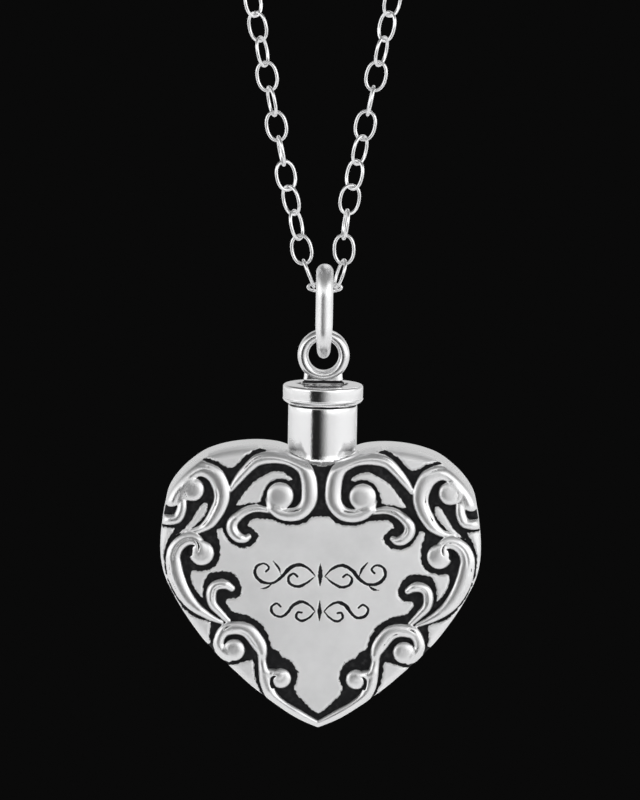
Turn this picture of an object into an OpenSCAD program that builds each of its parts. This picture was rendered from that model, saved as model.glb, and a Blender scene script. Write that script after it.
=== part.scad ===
// Keepsake urn pendant on its chain: a hollow puffed heart with raised scrolls, a screw cap
// with an eyelet, a tapered oval bail, and a cable chain closed by a spring ring.
// The origin is where the top of the chain rests on the nape. Everything hangs below it,
// +X is the wearer's left as seen from the front, -Y is the front and +Z is up.

/* [Heart] */
// Width of the heart across its lobes
heart_w = 20; // [17:0.5:24]
// Height of the heart from its tip to the tops of its lobes
heart_h = 17.6; // [15.5:0.1:21]
// Depth of the side band
band_t = 4.8; // [4.4:0.1:6]
// How far the middle of each face swells past the band
dome_rise = 0.4; // [0.2:0.05:0.8]
// Radius of the band's rounded edges
edge_r = 0.5; // [0.3:0.05:0.7]
// Wall of the hollow shell
shell_t = 0.7; // [0.5:0.05:0.9]

/* [Relief] */
// Rise of the smooth field and the rim islands above the recessed ground
field_rise = 0.22; // [0.1:0.02:0.4]
// Rise of the scroll ridges above the recessed ground
scroll_rise = 0.42; // [0.25:0.01:0.6]

/* [Neck] */
// Outer diameter of the filling neck
neck_d = 4.3; // [4:0.1:5]
// Height of the neck's rim above the tops of the lobes
neck_h = 2.52; // [1.5:0.02:4]
// Diameter of the bore that the cap's plug fits
bore_d = 3; // [2.6:0.1:3.2]

/* [Cap] */
// Diameter of the cap's disc
cap_d = 5.04; // [4.6:0.02:6]
// Height of the disc's straight wall
cap_t = 0.9; // [0.5:0.02:1.4]
// Height of the bevel under the disc
bevel_h = 0.4; // [0.2:0.05:0.6]
// Length of the threaded plug
plug_l = 2.6; // [1.6:0.1:3]
// Distance from one thread ridge to the next
thread_pitch = 0.5; // [0.4:0.05:0.7]
// Height of the thread ridges
thread_h = 0.16; // [0.1:0.01:0.2]
// Outer diameter of the eyelet
eyelet_d = 3.24; // [3:0.02:3.6]
// Diameter of the eyelet's hole
eyelet_hole_d = 1.9; // [1.7:0.05:2.1]
// Thickness of the eyelet from front to back
eyelet_t = 1.12; // [0.9:0.02:1.3]
// Width of the pedestal that carries the eyelet
pedestal_w = 2.4; // [2:0.05:2.8]
// Height of the eyelet's lowest point above the disc
eyelet_lift = 0.2; // [0.15:0.01:0.5]

/* [Bail] */
// Height of the bail over its ends
bail_h = 5.93; // [5.6:0.01:7]
// Depth of the bail from front to back
bail_d = 3.84; // [3.7:0.01:4.4]
// Thickness of the bail's wire, measured in the plane of the ring
bail_wire = 1.1; // [0.9:0.02:1.16]
// Width of the bail as seen from the front, above its taper
bail_w = 1.08; // [0.8:0.02:1.16]
// Width of the bail across its foot, as seen from the front
bail_foot_w = 0.8; // [0.6:0.01:0.9]
// Height of the bail's taper above its foot
bail_taper_h = 2.2; // [1.5:0.1:3]

/* [Chain] */
// Length of the chain with its clasp, measured along the loop
chain_l = 457; // [406:1:508]
// Diameter of the chain
chain_d = 1.1; // [0.9:0.05:1.4]
// Diameter of the chain's last links where they thread the bail
thread_link_d = 0.64; // [0.5:0.01:0.7]
// Angle of each strand from the vertical
strand_tilt = 11.4; // [9:0.1:14]

/* [Clasp] */
// Outer diameter of the spring ring
clasp_d = 5.5; // [5:0.1:7]
// Thickness of the spring ring's tube
clasp_wire = 1.1; // [0.9:0.05:1.4]
// Outer diameter of the end eyes
eye_d = 1.6; // [1.4:0.05:2]
// Wire of the end eyes
eye_wire = 0.4; // [0.3:0.02:0.5]

/* [Clearances] */
// Gap where one loose piece hangs on another
seat_gap = 0.05; // [0.03:0.01:0.1]
// Gap round the plug's thread in the bore
thread_gap = 0.08; // [0.05:0.01:0.12]

/* [Hidden] */
$fn = 64;
fuse = 0.3;        // how deep a joined shape runs into what carries it
ball_sides = 10;   // sides of the small balls
outline_steps = 2; // pieces of the outline between two rows of its table
scroll_steps = 2;  // pieces of a scroll between two rows of its table
half_w = heart_w / 2;
middle_z = 0.56 * heart_h; // height of the middle of the faces, where they swell most

// The right half of the heart's outline from the tip to the cleft.
// Columns: height in percent of heart_h, distance from the middle in percent of half the width
HEART_OUTLINE = [
    [0, 0], [3, 12], [9, 28], [14.5, 41], [20, 52], [26, 63.5], [31.5, 72.5], [37.5, 80.5],
    [43, 87], [48.5, 92.5], [54, 97], [60, 99.5], [66, 100], [72, 99.3], [77.5, 97.7],
    [83, 95.3], [88, 89.8], [92.5, 82], [96.5, 71.8], [99, 58], [100, 42], [99.3, 27],
    [97, 16], [95.5, 7.5], [95, 0]
];
EDGE_ANGLES = [60, 30, 0];     // where the rounded edges are ringed, in degrees from the side
FACE_SHARES = [55, 100];       // where each face is ringed, in percent of its reach
CAVITY_ANGLES = [45];          // the rounded edges inside

// Centre lines of the scrolls on the right half, mirrored for the left.
// Columns: across in percent of half the width, up in percent of heart_h,
// width of the scroll in percent of half the width
TOP_SCROLL = [
    [56.5, 85.5, 3], [52.3, 89, 5.2], [47.2, 92.5, 6], [40.5, 96, 7], [32.5, 97.2, 7.5],
    [25, 97, 7], [18.5, 96.3, 8], [12, 94, 8.5], [8.7, 90.8, 9.6], [7.5, 87, 10],
    [7.5, 83, 10], [9.5, 80.2, 8.5], [14, 77.8, 7], [20, 76.7, 6], [26, 77.3, 5],
    [31, 79, 4.5], [33.5, 81.3, 3]
];
TOP_HOOK = [
    [30, 78, 3], [39, 79, 4.5], [45, 78.5, 5], [50.5, 76.6, 5.5], [55, 73.8, 6.8],
    [55, 71, 7], [51.5, 68.7, 6.5], [47.5, 68.1, 5], [45, 68.8, 3.5]
];
SHOULDER_SCROLL = [
    [83, 69.9, 3], [75.5, 71, 4.5], [69.5, 73.5, 7], [65, 77.5, 8.7], [62.5, 81, 9.2],
    [62, 84, 9.8], [63.3, 87.4, 10.5], [66.5, 90.5, 10.5], [72, 92.3, 9.5], [77.5, 92.5, 9],
    [83, 91, 8], [87.5, 87.5, 7], [90, 83, 6], [90.5, 80, 4]
];
RIM_CURL = [
    [84, 83, 4], [84, 79.5, 5.5], [86.5, 76, 6], [91.5, 74, 6], [97, 74.5, 5]
];
SIDE_SCROLL = [
    [72, 67, 5], [77.5, 67.3, 7.5], [84.5, 67, 8], [89.5, 64.8, 8.5], [91.7, 61.4, 8.8],
    [91.2, 58, 9.5], [90, 54.5, 10], [87.2, 50.5, 9.5], [83, 46.5, 8.5], [76.5, 42.8, 6.5],
    [68, 39.7, 4], [60.5, 37.7, 2]
];
INNER_HOOK = [
    [57, 38.5, 3], [62.5, 41.7, 4.5], [66.5, 44.2, 5.5], [67.8, 47, 6.2], [66.8, 50, 6.2],
    [63.5, 51.5, 6.2], [59, 51.6, 6], [55, 50.2, 4]
];
LOWER_SCROLL = [
    [62.5, 29.5, 5], [62, 32.3, 6], [59, 35, 7.5], [53, 36, 8], [47.5, 35.8, 8.5],
    [42.8, 34.3, 9], [37.7, 30.4, 8.8], [35.5, 27.5, 6.5], [35.3, 24.3, 5], [34, 20, 6.5],
    [32.5, 16.5, 7.5], [29, 11.8, 7], [22, 8.5, 6], [14, 5.8, 6], [6, 3.3, 5], [0, 1.6, 4]
];
TIP_HOOK = [[34, 21, 3], [28, 20.7, 3.5], [23, 20.5, 3]];
SCROLLS = [
    TOP_SCROLL, TOP_HOOK, SHOULDER_SCROLL, RIM_CURL, SIDE_SCROLL, INNER_HOOK, LOWER_SCROLL,
    TIP_HOOK
];

// Balls that the scrolls close on. Columns: across, up, radius, in the scrolls' units
BALLS = [
    [25.7, 83.7, 8.3], [79.5, 85.1, 6.7], [74, 61.8, 7.2], [53, 28.3, 6.5], [23, 18.2, 5.9]
];

// Outlines of the smooth places between the scrolls. Columns: across, up, in the same units.
// The middle field is half an outline, closed on the middle line.
FIELD = [
    [0, 76.8], [5.5, 76.4], [9, 74.3], [15.5, 73.4], [22, 73.5], [31, 75.2], [41, 75.6],
    [44.5, 74.3], [46, 72.9], [42.7, 71.8], [40, 70.4], [39, 69], [40.5, 67], [44.5, 65.3],
    [49, 65], [54.5, 65.8], [58, 67.7], [60.5, 70.4], [61.8, 72], [65, 71.3], [65, 69.8],
    [63.6, 67.5], [62.5, 65.1], [62.7, 61.9], [64.5, 59], [67.7, 57.1], [72.7, 56.2],
    [77, 56.3], [80.5, 56.2], [81, 53.3], [79.5, 51.1], [77.5, 49.1], [72.5, 45.7],
    [73, 48.8], [72.5, 51.6], [71, 53.9], [68.5, 55.6], [60, 56.2], [55, 55.8], [51, 53.5],
    [48.6, 50.2], [50, 47.5], [54.3, 46.4], [58.3, 46.5], [58.6, 44.8], [56, 42.5],
    [51.4, 41.2], [45.7, 40.7], [41, 39.3], [36, 37.4], [33, 34.7], [31, 32], [30, 29],
    [26, 28.2], [23, 25.7], [18.6, 24.8], [14.8, 22.6], [13, 19.7], [14, 16.5], [15.7, 14.6],
    [12.4, 11.4], [8.6, 9.5], [3.8, 6.8], [0, 5.2]
];
TOP_ISLAND = [
    [53, 85.5], [48, 89], [41, 92.5], [34, 93.8], [29.5, 93.7], [25.5, 91.9], [20, 91],
    [24, 90.6], [31, 90.4], [35.5, 87.5], [37, 84], [38, 81.7], [46, 81.4], [52, 80.8]
];
SHOULDER_ISLAND = [
    [27, 110], [28, 101.2], [36, 101.2], [42, 99.8], [48, 97.3], [52, 94.7], [55, 93.2],
    [59, 93.2], [65, 95.3], [71, 96.2], [77, 95.9], [83, 94.6], [90, 91], [94, 86], [96, 81],
    [110, 81], [110, 110]
];
SCROLL_ISLAND = [
    [70, 80.3], [73.5, 80.5], [78, 77.7], [81.5, 74.8], [83, 72.9], [79, 73.4], [75, 75.2],
    [72, 77.7]
];
SIDE_ISLAND = [
    [90.5, 71.3], [95.5, 67.3], [97.5, 62.5], [97, 57.5], [95, 53], [91.5, 48], [86, 43.5],
    [79, 39.8], [70, 37.3], [68.5, 35], [69.5, 32], [68, 29.5], [110, 29.5], [110, 72.5]
];
LOWER_ISLAND = [
    [40, 25.3], [45, 24.3], [51, 23.4], [57, 22], [57, 5], [30, 5], [37, 14], [40, 19]
];
ISLANDS = [TOP_ISLAND, SHOULDER_ISLAND, SCROLL_ISLAND, SIDE_ISLAND, LOWER_ISLAND];

// Section of a scroll from one edge over the ridge to the other, above its root in the shell.
// Columns: across in shares of the width, out in shares of the rise
SCROLL_SECTION = [[-0.5, 0.4], [-0.22, 1], [0.22, 1], [0.5, 0.4]];

edge_bevel = 0.12;  // bevel round the top of the disc
eyelet_bevel = 0.2; // bevel round the eyelet's outer edges
hole_flare_t = 0.42; // how far the hole's flare runs in from each face of the eyelet
hole_flare_r = 0.26; // how much the flare widens the hole's radius at the face
pedestal_flare = 0.18; // how far the pedestal's foot flares, and the height of the flare
rim_step = 0.05;    // how far the scrolls stay inside the heart's outline
root_reach = 0.1;   // a scroll's root lies this much deeper than the rounded edge falls
shell_root = 0.9;   // how far the neck runs down between the lobes
cavity_reach = 2.5; // how far the bore runs down past the cleft into the cavity
pilot_gap = 0.3;    // the pilot hole is this much inside the bore's wall

// Heights above the tip of the heart
cleft_z = up(HEART_OUTLINE[len(HEART_OUTLINE) - 1][0]);
seam_z = heart_h + neck_h;
disc_z = seam_z + bevel_h;
pedestal_z = disc_z + cap_t;
eyelet_z = pedestal_z + eyelet_lift + eyelet_d / 2;
foot_wire_z = eyelet_z + eyelet_hole_d / 2 - seat_gap - bail_wire / 2;
bail_foot_z = foot_wire_z - bail_wire / 2;
bail_top_z = bail_foot_z + bail_h;
thread_z = bail_top_z - bail_wire - seat_gap - thread_link_d / 2;

// The chain's route hangs in the XZ plane. Each strand leaves the bail in a small bend and
// runs straight up to the arc that passes over the nape.
bend_r = 0.7;      // radius of the small bend beside the bail
bend_x = 0.15;     // where the small bend starts
bend_turn = 90 - strand_tilt;
strand_x = bend_x + bend_r * sin(bend_turn);
strand_z = thread_z + bend_r * (1 - cos(bend_turn));
bend_l = bend_x + bend_r * bend_turn * PI / 180;
nape_turn = 90 + strand_tilt;
// From the strand's foot out to the arc: strand_l * sin + strand_x = nape_r * cos, and
// strand_l, half the arc and the bend add up to half the chain.
nape_r = (chain_l / 2 - bend_l + strand_x / sin(strand_tilt))
    / (cos(strand_tilt) / sin(strand_tilt) + nape_turn * PI / 180);
strand_l = (nape_r * cos(strand_tilt) - strand_x) / sin(strand_tilt);
nape_z = strand_z + strand_l * cos(strand_tilt) + nape_r * sin(strand_tilt);
tip_z = -(nape_z + nape_r - clasp_wire / 2);
taper_start = 1.3; // where a strand starts to widen, measured up from its foot
taper_end = 3.3;   // where it has its full diameter
STRAND_SHARES = [20, 40, 60, 80, 100]; // rings further up a strand, in percent of its length
bend_steps = 5;    // rings of the small bend
nape_steps = 19;   // rings of the arc on each side of the clasp
chain_sides = 8;
knob_d = 0.7;      // diameter of the spring ring's thumb knob
knob_h = 0.7;      // how far the knob stands out of the ring
clasp_reach = clasp_d / 2 + eye_d - eye_wire;
nape_end = acos((clasp_reach + seat_gap) / nape_r); // where the arc stops at the clasp

// A smooth curve through every row of a table, whatever its columns
function curve(rows, steps) = [
    for (i = [0 : len(rows) - 2], k = [0 : steps - 1])
        let (a = rows[max(i - 1, 0)], b = rows[i], c = rows[i + 1],
             d = rows[min(i + 2, len(rows) - 1)], t = k / steps)
            0.5 * (2 * b + (c - a) * t + (2 * a - 5 * b + 4 * c - d) * t * t
                + (3 * b - 3 * c + d - a) * t * t * t),
    rows[len(rows) - 1]
];
function across(share) = share * half_w / 100;
function up(share) = share * heart_h / 100;
function placed(rows) = [for (r = rows) [across(r[0]), up(r[1])]];

// How far the recessed ground of a face lies from the middle plane
function face_y(x, z) = band_t / 2
    + dome_rise * max(0, 1 - pow(x / half_w, 2) - pow((z - middle_z) / middle_z, 2));

// The outline runs anticlockwise from the tip, as seen from the front.
function outline(steps) =
    let (half = [for (r = curve(HEART_OUTLINE, steps)) [across(r[1]), up(r[0])]])
        concat(half, [for (i = [len(half) - 2 : -1 : 1]) [-half[i][0], half[i][1]]]);

// One ring of the puffed form: the outline drawn in to a share, at a depth from the middle
function form_ring(flat, share, side, swell, drop) = [
    for (p = flat)
        let (x = p[0] * share, z = middle_z + (p[1] - middle_z) * share)
            [x, side * (face_y(x, z) + swell - drop), z]
];

// The puffed heart, drawn in by inset on every side, each face moved out by swell
module heart_form(inset = 0, swell = 0, steps = outline_steps, angles = EDGE_ANGLES) {
    flat = outline(steps);
    n = len(flat);
    rim = 1 - inset / half_w;
    face = rim - edge_r / half_w;
    round = [for (a = angles) [rim - edge_r * (1 - cos(a)) / half_w, edge_r * (1 - sin(a))]];
    out = swell - inset;
    front = concat(
        [for (share = FACE_SHARES) [share / 100 * face, 0]],
        round);
    rings = concat(
        [for (r = front) form_ring(flat, r[0], -1, out, r[1])],
        [for (i = [len(front) - 1 : -1 : 0]) form_ring(flat, front[i][0], 1, out, front[i][1])]);
    m = len(rings);
    top_y = face_y(0, middle_z) + out;
    points = concat([for (r = rings, p = r) p], [[0, -top_y, middle_z], [0, top_y, middle_z]]);
    sides = [
        for (r = [0 : m - 2], i = [0 : n - 1])
            let (j = (i + 1) % n, a = r * n + i, b = r * n + j)
                each [[a, b, b + n], [a, b + n, a + n]]
    ];
    caps = [
        for (i = [0 : n - 1])
            let (j = (i + 1) % n)
                each [[m * n, j, i], [m * n + 1, (m - 1) * n + i, (m - 1) * n + j]]
    ];
    polyhedron(points, concat(sides, caps), convexity = 6);
}

// Radius of the circle through three places on a centre line
function turn_radius(a, b, c) =
    let (ab = norm(b - a), bc = norm(c - b), ca = norm(a - c),
         area = abs((b[0] - a[0]) * (c[1] - a[1]) - (b[1] - a[1]) * (c[0] - a[0])) / 2)
        area < 1e-6 ? 1e6 : ab * bc * ca / (4 * area);

// A scroll: its ridge follows the face, and the inner edge of a bend stays short of the
// bend's centre
module scroll(rows) {
    line = [for (r = curve(rows, scroll_steps)) [across(r[0]), up(r[1]), across(r[2])]];
    last = len(line) - 1;
    root = edge_r + root_reach;
    section = concat([[-0.5, 0]], SCROLL_SECTION, [[0.5, 0]]);
    m = len(section);
    points = [
        for (k = [0 : last])
            let (p = line[k], a = line[max(k - 1, 0)], b = line[min(k + 1, last)],
                 t = [b[0] - a[0], b[1] - a[1]] / norm([b[0] - a[0], b[1] - a[1]]),
                 bend = turn_radius([a[0], a[1]], [p[0], p[1]], [b[0], b[1]]),
                 turn = (p[0] - a[0]) * (b[1] - p[1]) - (p[1] - a[1]) * (b[0] - p[0]),
                 rise = scroll_rise * min(1, p[2] / across(6)))
                for (s = section)
                    let (inner = s[0] * turn > 0,
                         u = inner ? min(abs(s[0]) * p[2], 0.85 * bend) : abs(s[0]) * p[2],
                         x = p[0] - t[1] * sign(s[0]) * u, z = p[1] + t[0] * sign(s[0]) * u)
                        [x, -(face_y(x, z) + (s[1] > 0 ? s[1] * rise : -root)), z]
    ];
    sides = [
        for (k = [0 : last - 1], j = [0 : m - 1])
            let (i = (j + 1) % m, a = k * m + j, b = k * m + i)
                each [[a, b, b + m], [a, b + m, a + m]]
    ];
    ends = [
        [for (j = [m - 1 : -1 : 0]) j],
        [for (j = [0 : m - 1]) last * m + j]
    ];
    polyhedron(points, concat(sides, ends), convexity = 6);
}

// A flattened ball that stands out of the face
module ball(row) {
    x = across(row[0]);
    z = up(row[1]);
    r = across(row[2]);
    translate([x, -face_y(x, z), z])
        scale([1, scroll_rise * 1.15 / r, 1])
            sphere(r, $fn = ball_sides);
}

module both_sides() {
    children();
    mirror([1, 0, 0]) children();
}

// Stands a flat outline upright and carries it through the front half of the heart
module front_plate() {
    rotate([90, 0, 0]) linear_extrude(band_t) children();
}

module smooth_places() {
    intersection() {
        heart_form(swell = field_rise);
        front_plate() {
            polygon(concat(placed(FIELD), [
                for (i = [len(FIELD) - 1 : -1 : 0]) [-across(FIELD[i][0]), up(FIELD[i][1])]
            ]));
            both_sides() for (rows = ISLANDS) polygon(placed(rows));
        }
    }
}

module scrolls() {
    intersection() {
        both_sides() {
            for (rows = SCROLLS) scroll(rows);
            for (row = BALLS) ball(row);
        }
        front_plate() offset(delta = -rim_step) polygon(outline(outline_steps));
    }
}

// The pressed and chased shell. resize() holds it to its stated width over the relief.
module heart_shell() {
    resize([heart_w, 0, 0]) difference() {
        union() {
            heart_form();
            smooth_places();
            scrolls();
        }
        heart_form(inset = shell_t, steps = 1, angles = CAVITY_ANGLES);
        translate([0, 0, cleft_z - cavity_reach])
            cylinder(d = bore_d - 2 * pilot_gap, h = cavity_reach + fuse + 1, $fn = 24);
    }
}

module heart_urn() {
    color("silver") translate([0, 0, tip_z]) difference() {
        union() {
            heart_shell();
            translate([0, 0, cleft_z - shell_root])
                cylinder(d = neck_d, h = seam_z - cleft_z + shell_root);
        }
        translate([0, 0, cleft_z - cavity_reach])
            cylinder(d = bore_d, h = seam_z - cleft_z + cavity_reach + 1);
    }
}

// The plug with its ridges. Its foot is at the origin.
module plug() {
    root_r = bore_d / 2 - thread_gap - thread_h;
    ridges = floor((plug_l - thread_pitch) / thread_pitch);
    cylinder(r = root_r, h = plug_l + fuse);
    for (k = [1 : ridges])
        translate([0, 0, k * thread_pitch])
            rotate_extrude()
                polygon([
                    [0, -thread_h], [root_r, -thread_h], [root_r + thread_h, -thread_h / 3],
                    [root_r + thread_h, thread_h / 3], [root_r, thread_h], [0, thread_h]
                ]);
}

// The eyelet, its hole running front to back through the origin
module eyelet() {
    inner = eyelet_hole_d / 2;
    outer = eyelet_d / 2;
    half_t = eyelet_t / 2;
    wide = inner + hole_flare_r;
    throat = half_t - hole_flare_t;
    b = eyelet_bevel;
    rotate([90, 0, 0]) rotate_extrude() polygon([
        [inner, -throat], [wide, -half_t], [outer - b, -half_t], [outer, b - half_t],
        [outer, half_t - b], [outer - b, half_t], [wide, half_t], [inner, throat]
    ]);
}

// The upright block between the disc and the eyelet, up to where the ring is as wide
module pedestal() {
    half = pedestal_w / 2;
    flare = pedestal_flare;
    chord_z = eyelet_z - pedestal_z - sqrt(pow(eyelet_d / 2, 2) - half * half);
    difference() {
        rotate([90, 0, 0]) linear_extrude(eyelet_t - eyelet_bevel, center = true) polygon([
            [-half - flare, -fuse], [half + flare, -fuse], [half + flare, 0], [half, flare],
            [half, chord_z], [-half, chord_z], [-half, flare], [-half - flare, 0]
        ]);
        translate([0, eyelet_t, eyelet_z - pedestal_z]) rotate([90, 0, 0])
            cylinder(d = eyelet_hole_d, h = 2 * eyelet_t);
    }
}

module cap() {
    color("gainsboro") translate([0, 0, tip_z]) {
        translate([0, 0, seam_z - plug_l]) plug();
        translate([0, 0, seam_z + seat_gap])
            cylinder(d1 = neck_d, d2 = cap_d, h = bevel_h - seat_gap);
        translate([0, 0, disc_z]) cylinder(d = cap_d, h = cap_t - edge_bevel);
        translate([0, 0, pedestal_z - edge_bevel])
            cylinder(d1 = cap_d, d2 = cap_d - 2 * edge_bevel, h = edge_bevel);
        translate([0, 0, pedestal_z]) pedestal();
        translate([0, 0, eyelet_z]) eyelet();
    }
}

// Half of the bail's round wire, an arch round the origin
module bail_arch() {
    rotate([90, 0, 90]) rotate_extrude(angle = 180)
        translate([(bail_d - bail_wire) / 2, 0]) circle(d = bail_wire);
}

// The bail is a long ring of round wire, filed narrower towards its foot.
module bail() {
    top_arch_z = bail_top_z - bail_d / 2;
    foot_arch_z = bail_foot_z + bail_d / 2;
    color("silver") translate([0, 0, tip_z]) intersection() {
        union() {
            translate([0, 0, top_arch_z]) bail_arch();
            translate([0, 0, foot_arch_z]) mirror([0, 0, 1]) bail_arch();
            for (side = [-1, 1])
                translate([0, side * (bail_d - bail_wire) / 2, foot_arch_z])
                    cylinder(d = bail_wire, h = top_arch_z - foot_arch_z);
        }
        rotate([90, 0, 0]) linear_extrude(bail_d + 1, center = true) polygon([
            [-bail_foot_w / 2, bail_foot_z], [bail_foot_w / 2, bail_foot_z],
            [bail_w / 2, bail_foot_z + bail_taper_h], [bail_w / 2, bail_top_z],
            [-bail_w / 2, bail_top_z], [-bail_w / 2, bail_foot_z + bail_taper_h]
        ]);
    }
}

// Half of the chain's route, from the middle of the bail to the clasp.
// Columns: across, height above the tip, angle of the way on from +X, radius
function strand_stop(d, r) = [
    strand_x + d * sin(strand_tilt), strand_z + d * cos(strand_tilt), bend_turn, r
];
function chain_route() = concat(
    [[0, thread_z, 0, thread_link_d / 2]],
    [for (k = [0 : bend_steps])
        let (a = bend_turn * k / bend_steps)
            [bend_x + bend_r * sin(a), thread_z + bend_r * (1 - cos(a)), a, thread_link_d / 2]],
    [strand_stop(taper_start, thread_link_d / 2), strand_stop(taper_end, chain_d / 2)],
    [for (share = STRAND_SHARES) strand_stop(strand_l * share / 100, chain_d / 2)],
    [for (k = [1 : nape_steps])
        let (a = -strand_tilt + (nape_end + strand_tilt) * k / nape_steps)
            [nape_r * cos(a), nape_z + nape_r * sin(a), a + 90, chain_d / 2]]
);

// The cable chain's links fill this tube, which threads the bail and ends at the clasp.
module chain() {
    half = chain_route();
    route = concat(
        [for (i = [len(half) - 1 : -1 : 1]) [-half[i][0], half[i][1], -half[i][2], half[i][3]]],
        half);
    last = len(route) - 1;
    points = [
        for (p = route, k = [0 : chain_sides - 1])
            let (a = 360 * (k + 0.5) / chain_sides, u = p[3] * cos(a) / cos(180 / chain_sides))
                [p[0] - u * sin(p[2]), p[3] * sin(a) / cos(180 / chain_sides), p[1] + u * cos(p[2])]
    ];
    sides = [
        for (i = [0 : last - 1], k = [0 : chain_sides - 1])
            let (j = (k + 1) % chain_sides, a = i * chain_sides + k, b = i * chain_sides + j)
                each [[a, b, b + chain_sides], [a, b + chain_sides, a + chain_sides]]
    ];
    ends = [
        [for (k = [chain_sides - 1 : -1 : 0]) k],
        [for (k = [0 : chain_sides - 1]) last * chain_sides + k]
    ];
    color("silver") translate([0, 0, tip_z]) polyhedron(points, concat(sides, ends), convexity = 4);
}

// A spring ring that lies flat against the nape, with an eye at each side for the chain
module clasp() {
    color("silver") translate([0, 0, clasp_wire / 2]) {
        rotate_extrude() translate([(clasp_d - clasp_wire) / 2, 0]) circle(d = clasp_wire);
        for (side = [-1, 1])
            translate([side * (clasp_d / 2 + eye_d / 2 - eye_wire), 0, 0])
                rotate_extrude() translate([(eye_d - eye_wire) / 2, 0]) circle(d = eye_wire);
        translate([0, (clasp_d - clasp_wire) / 2, 0])
            rotate([-90, 0, 0]) cylinder(d = knob_d, h = clasp_wire / 2 + knob_h);
    }
}

heart_urn();
cap();
bail();
chain();
clasp();
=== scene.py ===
"""Keepsake urn pendant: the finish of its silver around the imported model.

Sizes are in millimetres, heights are above the heart's tip, +X is to the right of the
picture and the front faces -Y, as in the solids. Meshes are placed in metres.
"""

import math

import bmesh
import bpy
import numpy as np
from mathutils import Matrix, Vector
from mathutils.geometry import delaunay_2d_cdt


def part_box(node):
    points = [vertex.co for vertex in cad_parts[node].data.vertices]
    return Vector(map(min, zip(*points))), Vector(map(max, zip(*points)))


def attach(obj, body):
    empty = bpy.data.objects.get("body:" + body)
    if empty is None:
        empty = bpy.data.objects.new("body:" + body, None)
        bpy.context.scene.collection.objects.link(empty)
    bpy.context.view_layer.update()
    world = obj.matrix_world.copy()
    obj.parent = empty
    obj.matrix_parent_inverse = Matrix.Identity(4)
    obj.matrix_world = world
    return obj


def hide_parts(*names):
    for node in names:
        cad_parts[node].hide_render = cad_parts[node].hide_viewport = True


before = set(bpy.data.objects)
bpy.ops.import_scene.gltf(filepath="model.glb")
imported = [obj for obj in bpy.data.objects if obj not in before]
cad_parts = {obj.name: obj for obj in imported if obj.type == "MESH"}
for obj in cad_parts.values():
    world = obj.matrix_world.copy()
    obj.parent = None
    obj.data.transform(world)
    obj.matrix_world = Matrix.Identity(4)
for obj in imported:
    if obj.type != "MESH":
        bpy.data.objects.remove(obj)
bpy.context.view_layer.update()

MM = 0.001
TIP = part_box("heart_urn")[0].z / MM

# The heart, as in the solids
HEART_W = 20
HEART_H = 17.6
HALF_W = HEART_W / 2
BAND_T = 4.8
DOME_RISE = 0.4
MIDDLE_Z = 0.56 * HEART_H
EDGE_R = 0.5
SHELL_T = 0.7
FIELD_RISE = 0.22
SCROLL_RISE = 0.42
NECK_D = 4.3
NECK_H = 2.52
BORE_D = 3
SEAM_Z = HEART_H + NECK_H

# Right half of the outline. Columns: height in percent of HEART_H, distance from the middle
# in percent of half the width
HEART_OUTLINE = [
    (0, 0), (3, 12), (9, 28), (14.5, 41), (20, 52), (26, 63.5), (31.5, 72.5), (37.5, 80.5),
    (43, 87), (48.5, 92.5), (54, 97), (60, 99.5), (66, 100), (72, 99.3), (77.5, 97.7),
    (83, 95.3), (88, 89.8), (92.5, 82), (96.5, 71.8), (99, 58), (100, 42), (99.3, 27),
    (97, 16), (95.5, 7.5), (95, 0),
]

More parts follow.
